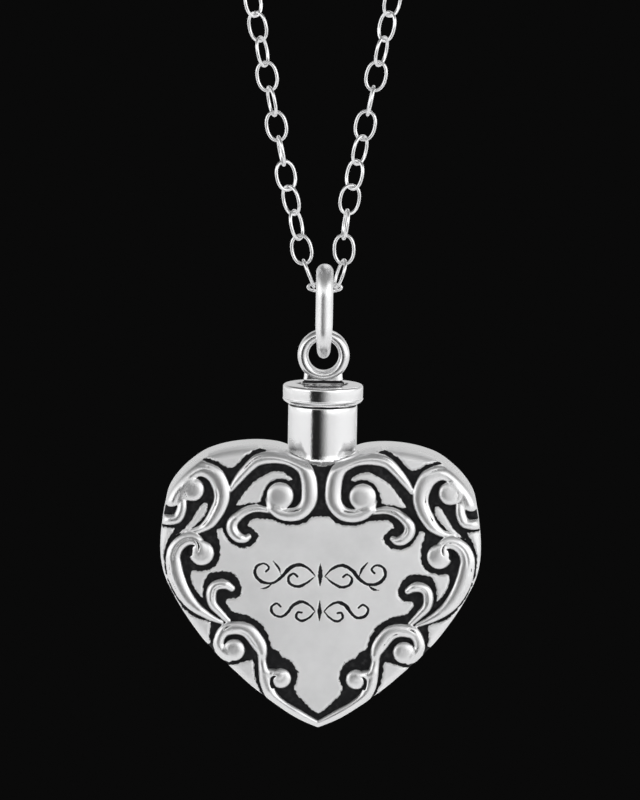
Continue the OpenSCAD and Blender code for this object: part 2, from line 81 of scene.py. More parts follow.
# Centre lines of the scrolls. Columns: across in percent of half the width, up in percent of
# HEART_H, width in percent of half the width
SCROLLS = {
    "top": [
        (56.5, 85.5, 3), (52.3, 89, 5.2), (47.2, 92.5, 6), (40.5, 96, 7), (32.5, 97.2, 7.5),
        (25, 97, 7), (18.5, 96.3, 8), (12, 94, 8.5), (8.7, 90.8, 9.6), (7.5, 87, 10),
        (7.5, 83, 10), (9.3, 80.2, 9.2), (13.6, 77.8, 8.6), (19.5, 77, 8.2), (25.5, 77.6, 7.6),
        (30.5, 79.4, 6), (33, 82, 3.5),
    ],
    "top_hook": [
        (30, 78, 3), (39, 79, 4.5), (45, 78.5, 5), (50.5, 76.6, 5.5), (55, 73.8, 6.8),
        (55, 71, 7), (51.5, 68.7, 6.5), (47.5, 68.1, 5), (45, 68.8, 3.5),
    ],
    "shoulder": [
        (83, 69.9, 3), (75.5, 71, 4.5), (69.5, 73.5, 7), (65, 77.5, 8.7), (62.5, 81, 9.2),
        (62, 84, 9.8), (63.3, 87.4, 10.5), (66.5, 90.5, 10.5), (72, 92.3, 9.5),
        (77.5, 92.5, 9.5), (83, 91, 10.5), (87.8, 87.8, 12), (91.5, 84.4, 12.5), (93.3, 81.9, 10.5),
    ],
    "rim_curl": [
        (87, 84, 4), (86.6, 80.5, 5.6), (87.3, 77.3, 6), (90.3, 74.6, 6.2), (97.5, 74.2, 6),
    ],
    "side": [
        (74.6, 63, 8), (75.8, 65.6, 8), (79, 67.5, 7.8), (84.5, 67.2, 8), (89.5, 64.8, 8.5),
        (91.7, 61.4, 8.8), (91.2, 58, 9.5), (90, 54.5, 10), (87.2, 50.5, 9.5), (83, 46.5, 8.5),
        (76.5, 42.8, 6.5), (68, 39.7, 4), (60.5, 37.7, 2),
    ],
    "inner_hook": [
        (57, 38.5, 3), (62.5, 41.7, 4.5), (66.5, 44.2, 5.5), (67.8, 47, 6.2), (66.8, 50, 6.2),
        (63.5, 51.5, 6.2), (59, 51.6, 6), (55, 50.2, 4),
    ],
    "lower": [
        (56, 24.8, 4), (60, 26.6, 7), (62.6, 29.8, 6.6), (61.8, 32.8, 6.6), (58.6, 35.2, 7.6),
        (53, 36, 8), (47.5, 35.8, 8.5), (42.8, 34.3, 9), (37.7, 30.4, 8.8), (35.5, 27.5, 6.5),
        (35.3, 24.3, 5), (34, 20, 6.5), (32.5, 16.5, 7.5), (29, 11.8, 7), (22, 8.5, 6),
        (14, 5.8, 6), (6, 3.3, 5), (0, 1.6, 4),
    ],
    "tip_hook": [(34, 20.4, 4.5), (29, 19.9, 5.5), (24.5, 19.3, 6)],
}
# Balls that the scrolls close on. Columns: across, up, radius
BALLS = [
    (25.7, 83.7, 8.3), (80.5, 85.3, 7.3), (74.2, 62.7, 7.7), (53, 28.1, 6.7), (23.4, 18.2, 6.2),
]

# Smooth places between the scrolls. The field is half an outline, closed on the middle line.
FIELD = [
    (0, 76.8), (5.5, 76.4), (9, 74.3), (15.5, 73.4), (22, 73.5), (31, 75.2), (41, 75.6),
    (44.5, 74.3), (46, 72.9), (42.7, 71.8), (40, 70.4), (39, 69), (40.5, 67), (44.5, 65.3),
    (49, 65), (54.5, 65.8), (58, 67.7), (60.5, 70.4), (61.8, 72), (65, 71.3), (65, 69.8),
    (63.6, 67.5), (62.5, 65.1), (62.7, 61.9), (64.5, 59), (67.7, 57.1), (72.7, 56.2),
    (77, 56.3), (80.5, 56.2), (81, 53.3), (79.5, 51.1), (77.5, 49.1), (72.5, 45.7),
    (73, 48.8), (72.5, 51.6), (71, 53.9), (68.5, 55.6), (60, 56.2), (55, 55.8), (51, 53.5),
    (48.6, 50.2), (50, 47.5), (54.3, 46.4), (58.3, 46.5), (58.6, 44.8), (56, 42.5),
    (51.4, 41.2), (45.7, 40.7), (41, 39.3), (36, 37.4), (33, 34.7), (31, 32), (30, 29),
    (26, 28.2), (23, 25.7), (18.6, 24.8), (14.8, 22.6), (13, 19.7), (14, 16.5), (15.7, 14.6),
    (12.4, 11.4), (8.6, 9.5), (3.8, 6.8), (0, 5.2),
]
ISLANDS = {
    "top": [
        (17.6, 89.4), (20.5, 90.9), (25, 92.2), (29, 92.5), (34, 91.5), (38, 90), (42, 88.5),
        (46, 86.1), (49, 83.8), (51.5, 81.4), (53.4, 79.9), (50, 79.8), (44, 80.8),
        (38, 80.9), (36.7, 83), (35.4, 85.5), (33.4, 87.6), (30, 89.1), (25, 89.8), (20.5, 89),
    ],
    "shoulder": [
        (6, 110), (6, 99), (32, 98.6), (35.5, 99.4), (38.5, 100.2), (42, 99.7), (48, 97.3),
        (52, 94.7), (55, 93.2), (59, 93.2), (65, 95.3), (71, 96.2), (77, 95.7), (81.5, 94.3),
        (85, 91.5), (90, 87), (94, 80.3), (110, 80.3), (110, 110),
    ],
    "scroll": [
        (70, 79.4), (71.8, 80.8), (74.8, 79.9), (78, 77.2), (81, 74.2), (84.6, 71.4),
        (91, 68.6), (84.6, 70), (79, 71.9), (74.3, 74.4), (71.2, 77),
    ],
    "side": [
        (90.5, 71.3), (95.5, 67.3), (97.5, 62.5), (97, 57.5), (95, 53), (91.5, 48),
        (86, 43.5), (79, 39.8), (67.5, 38), (68.3, 35.5), (68.3, 32.5), (67.5, 30), (110, 30),
        (110, 72.5),
    ],
    "lower": [
        (40.8, 25), (45, 24.2), (51, 23.2), (57, 22), (57, 5), (30, 5), (36.5, 13.5),
        (39.3, 17.5), (40.2, 21.5),
    ],
}


def across(share):
    return share * HALF_W / 100


def up(share):
    return share * HEART_H / 100


SCALE = (HALF_W / 100, HEART_H / 100)  # millimetres to a percent, across and up
CLEFT_Z = up(HEART_OUTLINE[-1][0])  # where the outline meets the middle line at the top


def curve(rows, steps):
    """A smooth curve through every row of a table, whatever its columns."""
    rows = np.array(rows, float)
    last = len(rows) - 1
    made = []
    for i in range(last):
        a, b, c, d = rows[max(i - 1, 0)], rows[i], rows[i + 1], rows[min(i + 2, last)]
        for k in range(steps):
            t = k / steps
            made.append(0.5 * (2 * b + (c - a) * t + (2 * a - 5 * b + 4 * c - d) * t * t
                               + (3 * b - 3 * c + d - a) * t ** 3))
    made.append(rows[-1])
    return np.array(made)


def columns(*parts):
    """Rows of numbers from their columns. A single number fills its column."""
    return np.stack(np.broadcast_arrays(*parts), 1).astype(float)


def smooth_step(low, high, value):
    t = np.clip((value - low) / (high - low), 0, 1)
    return t * t * (3 - 2 * t)


def outline(steps):
    """The heart's outline, anticlockwise from the tip as seen from the front."""
    rows = curve(HEART_OUTLINE, steps)
    half = columns(across(rows[:, 1]), up(rows[:, 0]))
    return np.concatenate([half, half[-2:0:-1] * (-1, 1)])


def near_line(x, z, line, closed=False):
    """Distance of points from a line of rows, and the row place and side of the nearest point."""
    ends = np.roll(line, -1, 0) if closed else line[1:]
    best = np.full(x.shape, 1e9)
    place = np.zeros(x.shape)
    side = np.ones(x.shape)
    for i, (a, b) in enumerate(zip(line, ends)):
        dx, dz = b[0] - a[0], b[1] - a[1]
        size = dx * dx + dz * dz
        if size < 1e-12:
            continue
        t = np.clip(((x - a[0]) * dx + (z - a[1]) * dz) / size, 0, 1)
        gap = np.hypot(x - a[0] - t * dx, z - a[1] - t * dz)
        closer = gap < best
        best = np.where(closer, gap, best)
        place = np.where(closer, i + t, place)
        side = np.where(closer, np.sign(dx * (z - a[1]) - dz * (x - a[0])), side)
    return best, place, side


def inside(x, z, line):
    """Whether points lie inside a closed line."""
    found = np.zeros(x.shape, bool)
    for a, b in zip(line, np.roll(line, -1, 0)):
        if a[1] == b[1]:
            continue
        crosses = (a[1] > z) != (b[1] > z)
        found ^= crosses & (x < (b[0] - a[0]) * (z - a[1]) / (b[1] - a[1]) + a[0])
    return found


def edge_distance(x, z, line):
    """Signed distance from a closed line, negative inside it."""
    gap = near_line(x, z, line, closed=True)[0]
    return np.where(inside(x, z, line), -gap, gap)


# The relief of the heart's front, worked out on a grid over its right half and mirrored

GRID = 0.06  # distance between the points of the front's mesh
CURVE_STEPS = 8
WALL_IN = 0.03  # a raised shape's wall starts this far inside its edge
WALL_OUT = 0.09  # and reaches the ground this far outside
PLATE_ROUND = 0.14  # width of the rounded edge of the smooth places
PLATE_DROP = 0.4  # share of their rise that the rounding takes
PLATE_SHADE = 0.22  # darkness of their edge
SHADE_W = 0.3
WOBBLE = 0.014
SCROLL_FULL = 3  # half a scroll's width, in percent, from which it has its whole rise
SCROLL_DROP = 0.33  # share of the rise lost at a scroll's edge
SCROLL_POWER = 2.2
BALL_FOOT = 0.3
BALL_RISE = 0.16
BALL_POWER = 3.4
FIELD_SATIN = 1
SCROLL_SATIN = 0.25
BALL_SATIN = 0.4

# Fine lines cut along the scrolls. Columns: place across the scroll in shares of half its
# width, first and last row of its table, width in millimetres
GROOVES = {
    "top": [(-0.5, 1, 4.5, 0.1), (-0.62, 5, 8, 0.08)],
    "top_hook": [(-0.1, 0.5, 3, 0.1), (-0.5, 3.5, 6.5, 0.08)],
    "shoulder": [(-0.6, 0.5, 6, 0.1), (0.5, 7, 9.5, 0.12)],
    "side": [(0.05, 1.5, 6, 0.12), (0.65, 5, 9, 0.07)],
    "inner_hook": [(0.3, 2, 6, 0.08)],
    "lower": [(0.45, 5, 8.5, 0.1)],
}
GROOVE_DEPTH = 0.04
GROOVE_DARK = 0.36
GROOVE_FALL = 4  # how fast a groove's walls rise away from its middle

# Dark creases where the balls and hooks close. Columns: across, up, width in millimetres
CREASES = [
    [(12.6, 79.2, 0.04), (15, 78.7, 0.08), (19, 78.4, 0.07), (22.5, 78.9, 0.05), (25, 80, 0.03)],
    [(78.9, 67.8, 0.03), (77, 66.7, 0.07), (76, 65.4, 0.09), (76.2, 64, 0.08), (77.3, 62.9, 0.03)],
    [(78.2, 65.2, 0.05), (79.6, 65.3, 0.14), (81, 64.4, 0.26), (82, 62.6, 0.4)],
    [(55.5, 36.9, 0.04), (58.4, 36.1, 0.08), (60.4, 34.8, 0.04)],
    [(26.2, 18.9, 0.05), (27.8, 18.9, 0.12), (29, 18, 0.18), (29.2, 16.6, 0.2), (28.4, 15.2, 0.24)],
    [(84.2, 86.4, 0.03), (85, 84.6, 0.05), (84, 82.8, 0.03)],
]
CREASE_DEPTH = 0.1

# An engraved flourish of two rows on the field. Columns: across, up, width, in millimetres
FLOURISH = [
    [(0.3, 9.72, 0.08), (0.75, 10.2, 0.16), (1.35, 10.42, 0.22), (1.95, 10.15, 0.25),
     (2.4, 9.62, 0.22), (2.95, 9.25, 0.17), (3.6, 9.3, 0.19), (4.05, 9.75, 0.21),
     (3.95, 10.28, 0.18), (3.5, 10.45, 0.14), (3.2, 10.2, 0.14), (3.38, 9.95, 0.16)],
    [(0.35, 9.68, 0.08), (0.8, 9.3, 0.14), (1.35, 9.05, 0.19), (1.85, 9.2, 0.18), (1.98, 9.6, 0.16),
     (1.68, 9.85, 0.14), (1.42, 9.68, 0.16)],
    [(2.45, 9.75, 0.06), (2.6, 10.2, 0.16), (2.95, 10.62, 0.08)],
    [(3, 9.2, 0.06), (3.3, 8.95, 0.14), (3.75, 8.85, 0.06)],
    [(0.28, 7.5, 0.08), (0.6, 7.85, 0.14), (1.1, 8.08, 0.21), (1.6, 7.9, 0.22), (1.95, 7.45, 0.19),
     (2.35, 7.12, 0.17), (2.85, 7.25, 0.18), (3.02, 7.68, 0.16), (2.7, 7.95, 0.14),
     (2.42, 7.75, 0.14)],
    [(0.32, 7.45, 0.08), (0.65, 7.08, 0.14), (1.1, 6.88, 0.17), (1.45, 7.1, 0.16),
     (1.36, 7.42, 0.14), (1.12, 7.4, 0.14)],
    [(0, 9.1, 0.06), (0, 9.45, 0.21), (0, 9.75, 0.33), (0, 10.1, 0.21), (0, 10.55, 0.06)],
    [(0, 6.9, 0.06), (0, 7.2, 0.18), (0, 7.48, 0.3), (0, 7.8, 0.18), (0, 8.2, 0.06)],
]
FLOURISH_DEPTH = 0.05
FLOURISH_DARK = 0.8

CUT_WALL = (0.2, 1.6)  # start and end of the wall of a crease or stroke, in half widths
FINE_HALF = 0.06  # half the width under which it gets shallower
FINE_LEAST = 0.35


def soften(rows, reach=1.3, most=0.3):
    """A closed outline in percent with its corners rounded."""
    rows = np.array(rows, float)
    made = []
    for a, b, c in zip(np.roll(rows, 1, 0), rows, np.roll(rows, -1, 0)):
        start = b + (a - b) * min(most, reach / np.linalg.norm(a - b))
        end = b + (c - b) * min(most, reach / np.linalg.norm(c - b))
        made += [start, 0.25 * start + 0.5 * b + 0.25 * end, end]
    return np.array(made)


def soft_top(a, b, reach=0.2):
    """The higher of two raised shapes, run into each other where both are about as high."""
    near = np.clip(1 - np.abs(a - b) / reach, 0, 1) ** 2
    return np.maximum(a, b) + near * reach / 4 * np.clip(np.minimum(a, b) / reach, 0, 1)


def relief(x, z):
    """Rise of the front over its ground at points of the right half, how much of a point is
    raised, how dark a fine cut makes it, and how satin it is."""
    rise, raised, dark = np.zeros((3, *x.shape))
    satin = np.full(x.shape, SCROLL_SATIN)

    def lay(height, outside, cut, smooth):
        """Lays a shape on the relief. Outside is a point's distance out from its edge."""
        nonlocal rise, raised, dark, satin
        cover = 1 - smooth_step(-WALL_IN, WALL_OUT, outside)
        on_top = height * cover > rise
        dark = np.where(on_top, cut * cover, dark * (1 - cover) + np.minimum(dark, cut) * cover)
        satin = np.where(on_top & (cover > 0.5), smooth, satin)
        rise = soft_top(rise, height * cover)
        raised = np.maximum(raised, cover)

    whole_field = FIELD + [(-row[0], row[1]) for row in FIELD[-2:0:-1]]
    for rows in (whole_field, *ISLANDS.values()):
        outside = edge_distance(x, z, soften(rows) * SCALE) + uneven(x, z)
        height = FIELD_RISE * (1 - PLATE_DROP * smooth_step(-PLATE_ROUND, 0, outside))
        lay(height, outside, PLATE_SHADE * smooth_step(-SHADE_W, 0, outside), FIELD_SATIN)
    for name, rows in SCROLLS.items():
        line = curve(rows, CURVE_STEPS)
        points = columns(across(line[:, 0]), up(line[:, 1]))
        gap, place, side = near_line(x, z, points)
        half = across(np.interp(place, np.arange(len(line)), line[:, 2])) / 2
        height = SCROLL_RISE * np.minimum(1, half / across(SCROLL_FULL))
        height = height * (1 - SCROLL_DROP * np.clip(gap / half, 0, 1) ** SCROLL_POWER)
        cut = np.zeros(x.shape)
        row = place / CURVE_STEPS
        for shift, first, last, width in GROOVES.get(name, ()):
            off = (side * gap - shift * half) / width
            mark = np.exp(-GROOVE_FALL * off ** 2) * smooth_step(first, first + 1, row)
            mark = mark * (1 - smooth_step(last - 1, last, row))
            height = height - GROOVE_DEPTH * mark
            cut = np.maximum(cut, GROOVE_DARK * mark)
        lay(height, gap - half, cut, SCROLL_SATIN)
    for place_x, place_z, radius in BALLS:
        r = across(radius)
        gap = np.hypot(x - across(place_x), z - up(place_z))
        height = BALL_FOOT + BALL_RISE * np.clip(1 - (gap / r) ** BALL_POWER, 0, 1)
        lay(height, gap - r, 0, BALL_SATIN)
    cuts = [(curve(rows, CURVE_STEPS) * (*SCALE, 1), CREASE_DEPTH, 1) for rows in CREASES]
    cuts += [(curve(rows, CURVE_STEPS), FLOURISH_DEPTH, FLOURISH_DARK) for rows in FLOURISH]
    for line, depth, black in cuts:
        mark = stroke(x, z, line)
        rise = rise - depth * mark
        dark = np.maximum(dark, black * mark)
    return rise, raised, dark, satin


def uneven(x, z):
    """A small wobble of the edges of the smooth places, in millimetres."""
    waves = np.sin(9 * x + 6 * z) + np.sin(15 * z - 8 * x + 1) + np.sin(21 * x + 11 * z + 2)
    return WOBBLE * waves


def stroke(x, z, line):
    """How deep points lie in a line cut with a swelling graver, from 0 to 1."""
    gap, place, _ = near_line(x, z, line[:, :2])
    half = np.interp(place, np.arange(len(line)), line[:, 2]) / 2
    return (1 - smooth_step(*CUT_WALL, gap / half)) * np.clip(half / FINE_HALF, FINE_LEAST, 1)


def ground_y(x, z):
    """How far the ground of a face lies from the middle plane."""
    return BAND_T / 2 + DOME_RISE * np.maximum(
        0, 1 - (x / HALF_W) ** 2 - ((z - MIDDLE_Z) / MIDDLE_Z) ** 2)


def edge_drop(gap):
    """How far the rounded edge falls at a distance inside the outline."""
    t = np.clip(1 - gap / EDGE_R, 0, 1)
    return EDGE_R * (1 - np.sqrt(1 - t * t))


# The stage: a pale floor, a dark card, soft light, and a camera at the photo's angle

CAMERA_RISE = 7.6  # degrees above the level
CAMERA_ROLL = 0.9  # degrees, so that the pendant's top leans to the right
CAMERA_DISTANCE = 600
CAMERA_AIM = (-0.18, 0, 20.4)
CAMERA_CLIP = (0.01, 100)  # in metres
VIEW_H = 50  # height of the picture where the camera aims
SENSOR = 36  # long side of the camera's sensor
FLOOR_DROP = 58  # how far the floor lies below the tip
FLOOR_SIZE = 16000
CARD_REACH = 170  # how far from the middle the dark card's ends are
CARD_TURNS = (-37, 26)  # and where they are, in degrees from straight ahead to the right
CARD_LOW = -55
CARD_HIGH = 62
BACKDROP = (0.003, 0.003, 0.003, 1)
# Tones that change with a place or a direction: the range it runs over, and the tones there
CEILING = ((0.2, 0.74), (1.5, 0.24))
BEHIND = ((-0.1, 0.5), (1, 0.42))
GLOW_LEFT = ((0.5 - 0.038, 0.5 - 0.026), (0.26, 0))
GLOW_RIGHT = ((0.5 + 0.024, 0.5 + 0.036), (0.25, 0.58))
CARD_FADE = ((0.41, 1), (1, 0))
LIGHT_AIM = (0, 0, 12)
# Columns: name, place, size, power, whether the silver reflects it
LIGHTS = [
    ("key_light", (-320, -420, 520), 560, 1, False),
    ("fill_light", (460, -300, 260), 420, 0.3, True),
    ("rim_light", (120, 420, 420), 400, 0.3, True),
]


def scene_point(x, y, height):
    return Vector((x, y, TIP + height)) * MM


def look(thing, start, aim, roll=0):
    """Turns a camera or light at one place towards another."""
    way = (aim - start).to_track_quat("-Z", "Y").to_matrix().to_4x4()
    rolled = Matrix.Rotation(math.radians(roll), 4, "Z")
    thing.matrix_world = Matrix.Translation(start) @ way @ rolled


def add_object(name, data):
    made = bpy.data.objects.new(name, data)
    bpy.context.scene.collection.objects.link(made)
    return made


def build_camera():
    camera = add_object("camera", bpy.data.cameras.new("camera"))
    camera.data.sensor_width = SENSOR
    camera.data.lens = SENSOR * CAMERA_DISTANCE / VIEW_H
    camera.data.clip_start, camera.data.clip_end = CAMERA_CLIP
    aim = scene_point(*CAMERA_AIM)
    rise = math.radians(CAMERA_RISE)
    start = aim + Vector((0, -math.cos(rise), math.sin(rise))) * CAMERA_DISTANCE * MM
    look(camera, start, aim, CAMERA_ROLL)
    bpy.context.scene.camera = camera


def feed(socket, value):
    """Links a value that is an output to a socket, and sets any other on it."""
    if isinstance(value, bpy.types.NodeSocket):
        socket.id_data.links.new(value, socket)
    else:
        socket.default_value = value


def node(tree, kind, *places, **names):
    """A shader node with its settings and inputs, given by name or by their place."""
    made = tree.nodes.new(kind)
    for name, value in names.items():
        if hasattr(made, name):
            setattr(made, name, value)
        else:
            feed(made.inputs[name.replace("_", " ")], value)
    for place, value in enumerate(places):
        feed(made.inputs[place], value)
    return made


def ramp(tree, value, source, target, smooth=True):
    """A value that runs over one range, turned into one that runs over another."""
    kind = "SMOOTHSTEP" if smooth else "LINEAR"
    made = node(tree, "ShaderNodeMapRange", interpolation_type=kind, Value=value,
                From_Min=source[0], From_Max=source[1], To_Min=target[0], To_Max=target[1])
    return made.outputs["Result"]


def calc(tree, operation, *values):
    return node(tree, "ShaderNodeMath", *values, operation=operation).outputs[0]


def blend(tree, share, first, second):
    made = node(tree, "ShaderNodeMix", data_type="RGBA", Factor=share, A=first, B=second)
    return made.outputs["Result"]


def noise(tree, place, scale, detail, rough):
    return node(tree, "ShaderNodeTexNoise", Vector=place, Scale=scale, Detail=detail,
                Roughness=rough).outputs["Fac"]


def place_parts(tree):
    """The place on a sheet, or the direction in the world, split into X, Y and Z."""
    place = node(tree, "ShaderNodeTexCoord").outputs["Generated"]
    return node(tree, "ShaderNodeSeparateXYZ", Vector=place).outputs


def build_world():
    """Pale walls all round and a greyer ceiling in the reflections, black behind the pendant."""
    world = bpy.data.worlds.new("studio")
    bpy.context.scene.world = world
    world.use_nodes = True
    tree = world.node_tree
    tree.nodes.clear()
    way = place_parts(tree)
    tone = calc(tree, "MULTIPLY", ramp(tree, way["Z"], *CEILING), ramp(tree, way["Y"], *BEHIND))
    light = node(tree, "ShaderNodeBackground", Color=(1, 1, 1, 1), Strength=tone)
    seen = node(tree, "ShaderNodeBackground", Color=BACKDROP, Strength=1)
    from_camera = node(tree, "ShaderNodeLightPath").outputs["Is Camera Ray"]
    mixed = node(tree, "ShaderNodeMixShader", from_camera, light.outputs[0], seen.outputs[0])
    node(tree, "ShaderNodeOutputWorld", mixed.outputs[0])


def new_material(name):
    """A material, its node tree and the sockets of its shader."""
    made = bpy.data.materials.new(name)
    made.use_nodes = True
    return made, made.node_tree, made.node_tree.nodes["Principled BSDF"].inputs


def plain_material(name, color, rough):
    made, tree, sockets = new_material(name)
    feed(sockets["Base Color"], (*color, 1))
    feed(sockets["Roughness"], rough)
    return made, tree, sockets


def flat_sheet(name, corners, material):
    mesh = bpy.data.meshes.new(name)
    mesh.from_pydata(corners, [], [(0, 1, 2, 3)])
    mesh.materials.append(material)
    made = add_object(name, mesh)
    return made


def build_stage():
    half = FLOOR_SIZE / 2 * MM
    low = (TIP - FLOOR_DROP) * MM
    pale, tree, sockets = plain_material("pale_floor", (0.9, 0.9, 0.905), 0.9)
    # It glows more to the left and right, which the sides of the neck and the cap reflect
    over = place_parts(tree)["X"]
    glow = calc(tree, "ADD", ramp(tree, over, *GLOW_LEFT), ramp(tree, over, *GLOW_RIGHT))
    feed(sockets["Emission Strength"], glow)
    feed(sockets["Emission Color"], (1, 1, 1, 1))
    floor = flat_sheet("floor", [(-half, -half, low), (half, -half, low), (half, half, low),
                                 (-half, half, low)], pale)
    floor.visible_camera = False
    # A dark card in front gives the neck its dark reflection. It fades at its right.
    (x0, y0), (x1, y1) = [(CARD_REACH * math.sin(a), -CARD_REACH * math.cos(a))
                          for a in map(math.radians, CARD_TURNS)]
    black, tree, sockets = plain_material("card_black", (0.01, 0.01, 0.01), 0.8)
    feed(sockets["Alpha"], ramp(tree, place_parts(tree)["X"], *CARD_FADE))
    feed(sockets["Specular IOR Level"], 0)
    card = flat_sheet("dark_card", [scene_point(x0, y0, CARD_LOW), scene_point(x1, y1, CARD_LOW),
                                    scene_point(x1, y1, CARD_HIGH),
                                    scene_point(x0, y0, CARD_HIGH)], black)
    card.visible_camera = False
    card.visible_shadow = False
    card.visible_diffuse = False


def build_lights():
    for name, place, size, power, reflected in LIGHTS:
        data = bpy.data.lights.new(name, "AREA")
        data.shape = "DISK"
        data.size = size * MM
        data.energy = power
        light = add_object(name, data)
        look(light, scene_point(*place), scene_point(*LIGHT_AIM))
        light.visible_camera = False
        light.visible_glossy = reflected


# Materials

SILVER = (0.95, 0.95, 0.955)
DULL = 0.9  # tone of its duller patches, as a share
WHOLE_BLACK = (0.008, 0.008, 0.009, 1)
WORN_BLACK = (0.028, 0.028, 0.029, 1)
# Noise over the silver. Columns: scale, detail, roughness
CLOUDS = (2600, 4, 0.65)
PATCHES = (420, 5, 0.6)
STREAKS = (3600, 4, 0.7)
SCRATCHES = (9000, 3, 0.65)
CLOUD_SHARE = 0.9  # how much the clouds add to the blackening
COVER_RANGE = (0.66, 0.86)  # where it starts and is whole
NOISE_RANGE = (0.3, 0.7)
STREAK_RANGE = (0.48, 0.72)
ROUGH_SPREAD = (-0.03, 0.05)  # of the polished silver's roughness
SATIN_ROUGH = 0.33  # what satin adds to the roughness
BLACK_ROUGH = 0.35
BLACK_GLOSS = 0.14
SCRATCH_DEPTH = 0.00001  # in metres


def silver(name, polished, scratch):
    """Silver of some roughness and scratches, blackened, or darkened with painted shade, and satin
    where its mesh says so.
    """
    made, tree, sockets = new_material(name)
    place = node(tree, "ShaderNodeTexCoord").outputs["Object"]
    dark, satin = [node(tree, "ShaderNodeAttribute", attribute_name=key).outputs["Fac"]
                   for key in ("tarnish_and_shade", "satin")]
    # Blackening, which also lays the cap's painted shade, is uneven and fades out over the edges
    # that were rubbed bright again
    uneven_dark = calc(tree, "MULTIPLY_ADD", noise(tree, place, *CLOUDS), CLOUD_SHARE, dark)
    cover = ramp(tree, uneven_dark, COVER_RANGE, (0, 1))
    patches = ramp(tree, noise(tree, place, *PATCHES), NOISE_RANGE, (0, 1), smooth=False)
    bright = blend(tree, patches, (*(c * DULL for c in SILVER), 1), (*SILVER, 1))
    worn = ramp(tree, noise(tree, place, *STREAKS), STREAK_RANGE, (0, 1), smooth=False)
    crust = blend(tree, worn, WHOLE_BLACK, WORN_BLACK)
    feed(sockets["Base Color"], blend(tree, cover, bright, crust))
    # Rough where it is satin, rougher where it is black
    fine = noise(tree, place, *SCRATCHES)
    spread = [polished + more for more in ROUGH_SPREAD]
    grain = ramp(tree, fine, NOISE_RANGE, spread, smooth=False)
    rough = calc(tree, "MULTIPLY_ADD", satin, SATIN_ROUGH, grain)
    feed(sockets["Roughness"], calc(tree, "MULTIPLY_ADD", cover, BLACK_ROUGH, rough))
    # Rubbed parts stay metal, the black layer is a dull crust
    feed(sockets["Metallic"], ramp(tree, cover, (0, 1), (1, 0), smooth=False))
    feed(sockets["Specular IOR Level"], BLACK_GLOSS)
    bump = node(tree, "ShaderNodeBump", Strength=scratch, Distance=SCRATCH_DEPTH, Height=fine)
    feed(sockets["Normal"], bump.outputs["Normal"])
    return made


def add_piece(name, points, faces, material, body, slot, node_name, tarnish_and_shade=0, satin=0):
    """A smooth mesh piece. Its points are in millimetres above the tip. Blackening, which also
    lays painted shade, and satin have a value for each point, or one for all."""
    mesh = bpy.data.meshes.new(name)
    placed = (np.asarray(points, float) + (0, 0, TIP)) * MM
    mesh.from_pydata(placed.tolist(), [], faces)
    mesh.validate()
    mesh.update()
    mesh.shade_smooth()
    mesh.materials.append(material)
    made = add_object(name, mesh)
    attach(made, body)
    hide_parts(node_name)
    if len(made.data.vertices) != len(points):
        raise ValueError("the mesh of " + name + " lost points")
    for key, values in (("tarnish_and_shade", tarnish_and_shade), ("satin", satin)):
        layer = made.data.attributes.new(key, "FLOAT", "POINT")
        layer.data.foreach_set("value", np.full(len(points), values, np.float32))


def gather(parts):
    """Points and faces of several parts as one mesh."""
    points, faces, count = [], [], 0
    for spots, sides in parts:
        points.append(spots)
        faces += [tuple(int(i) + count for i in face) for face in sides]
        count += len(spots)
    return np.concatenate(points), faces


def facing_out(points, faces):
    """The faces of a closed mesh, turned round if they face inwards."""
    volume = 0
    for face in faces:
        corners = points[list(face)]
        volume += np.cross(corners[1:-1], corners[2:]).sum(0) @ corners[0]
    return faces if volume > 0 else [tuple(reversed(face)) for face in faces]


def tube(rings, closed=False):
    """Faces of rings of points joined one to the next, with flat ends unless it is closed."""
    count, around = rings.shape[:2]
    faces = []
    for k in range(count if closed else count - 1):
        a, b = k * around, (k + 1) % count * around
        for i in range(around):
            j = (i + 1) % around
            faces.append((a + i, a + j, b + j, b + i))
    if not closed:
        faces.append(tuple(range(around - 1, -1, -1)))
        faces.append(tuple(range((count - 1) * around, count * around)))
    points = rings.reshape(-1, 3)
    return points, facing_out(points, faces)


def angles(steps):
    """Even steps round a circle."""
    return np.arange(steps) * 2 * math.pi / steps


def squarish(angle, power):
    """Cosine and sine, bent so that they go round an oblong with rounded corners."""
    return [np.sign(part) * np.abs(part) ** power for part in (np.cos(angle), np.sin(angle))]


def lathe(profile, steps):
    """A profile of (radius, height) turned about the upright axis."""
    a = angles(steps)
    rings = [columns(radius * np.cos(a), radius * np.sin(a), height)
             for radius, height in profile]
    return tube(np.array(rings))


def round_corner(a, corner, b, radius, steps):
    """Points of a rounded corner of a profile."""
    a, corner, b = (np.array(p, float) for p in (a, corner, b))
    to_a, to_b = a - corner, b - corner
    start = corner + to_a / np.linalg.norm(to_a) * radius
    end = corner + to_b / np.linalg.norm(to_b) * radius
    t = np.linspace(0, 1, steps)[:, None]
    return [tuple(p) for p in (1 - t) ** 2 * start + 2 * t * (1 - t) * corner + t * t * end]


# The heart

FIRST_GAP = 0.22  # the front's grid ends this far inside the outline
RIM_GAPS = (0.16, 0.11, 0.07, 0.035, 0.012, 0)  # rings of the front's rounded edge
BACK_GAPS = (0, 0.02, 0.07, 0.17, 0.32, 0.5)
BAND_SHARES = (0.04, 0.5, 0.96)
BACK_GRID = 0.4
TIP_FAN = 1.6
GRID_TOP = HEART_H * 1.01
CUT_DARK = 0.9
HOLLOW_REACH = 5  # hollows are found against the mean of this many points each way
HOLLOW_DEPTH = (0.04, 0.16)
HOLLOW_DARK = 0.8
RUBBED_RIM = (-0.02, 0.05)  # the blackening is rubbed off at the outline
